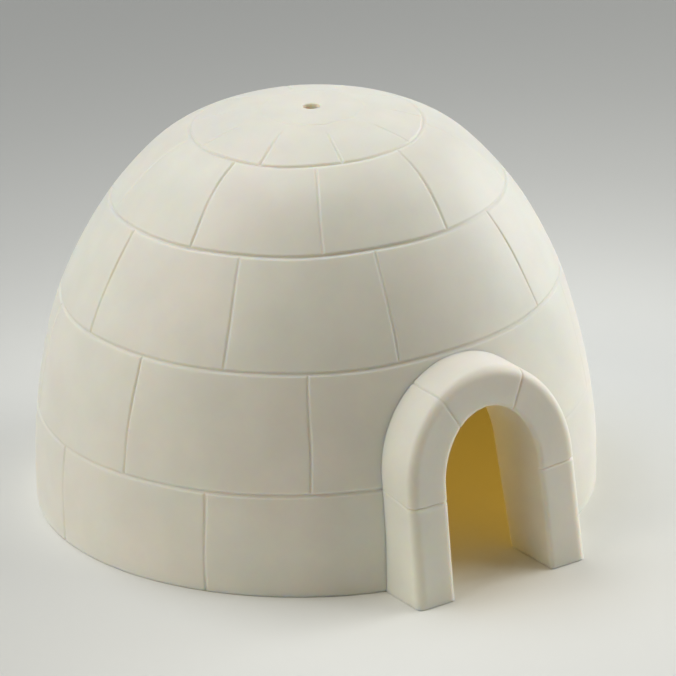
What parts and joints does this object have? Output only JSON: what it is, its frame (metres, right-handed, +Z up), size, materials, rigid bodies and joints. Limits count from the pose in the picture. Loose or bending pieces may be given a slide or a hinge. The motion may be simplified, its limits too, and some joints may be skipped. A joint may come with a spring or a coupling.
{
  "type": "toy model igloo",
  "caption": "Small hollow model igloo: a dome of incised block courses with a vent at the crown and a projecting arched doorway, open underneath.",
  "frame": {"origin": "on the floor under the middle of the whole model, halfway between the arch's front foot and the back of the dome", "axes": "+Z up; the doorway faces -Y; the dome's axis stands on +Y a few millimetres behind the origin"},
  "size_m": [0.15, 0.1606, 0.1055],
  "materials": {
    "snow_wall": "off-white moulded plastic with a waxy satin surface",
    "doorway_arch": "the same off-white plastic, softly rounded edges"
  },
  "bodies": {
    "root": {"course_1_block_1": "snow_wall", "course_1_block_2": "snow_wall", "course_1_block_3": "snow_wall", "course_1_block_4": "snow_wall", "course_1_block_5": "snow_wall", "course_1_block_6": "snow_wall", "course_1_block_7": "snow_wall", "course_1_block_8": "snow_wall", "course_2_block_1": "snow_wall", "course_2_block_2": "snow_wall", "course_2_block_3": "snow_wall", "course_2_block_4": "snow_wall", "course_2_block_5": "snow_wall", "course_2_block_6": "snow_wall", "course_2_block_7": "snow_wall", "course_2_block_8": "snow_wall", "course_2_block_9": "snow_wall", "course_3_block_1": "snow_wall", "course_3_block_2": "snow_wall", "course_3_block_3": "snow_wall", "course_3_block_4": "snow_wall", "course_3_block_5": "snow_wall", "course_3_block_6": "snow_wall", "course_3_block_7": "snow_wall", "course_3_block_8": "snow_wall", "course_3_block_9": "snow_wall", "course_4_block_1": "snow_wall", "course_4_block_2": "snow_wall", "course_4_block_3": "snow_wall", "course_4_block_4": "snow_wall", "course_4_block_5": "snow_wall", "course_4_block_6": "snow_wall", "course_4_block_7": "snow_wall", "course_4_block_8": "snow_wall", "course_4_block_9": "snow_wall", "cap_ring": "snow_wall", "crown_disc": "snow_wall", "arch_left_leg": "doorway_arch", "arch_left_haunch": "doorway_arch", "arch_crown_stone": "doorway_arch", "arch_right_haunch": "doorway_arch", "arch_right_leg": "doorway_arch"}
  },
  "joints": []
}
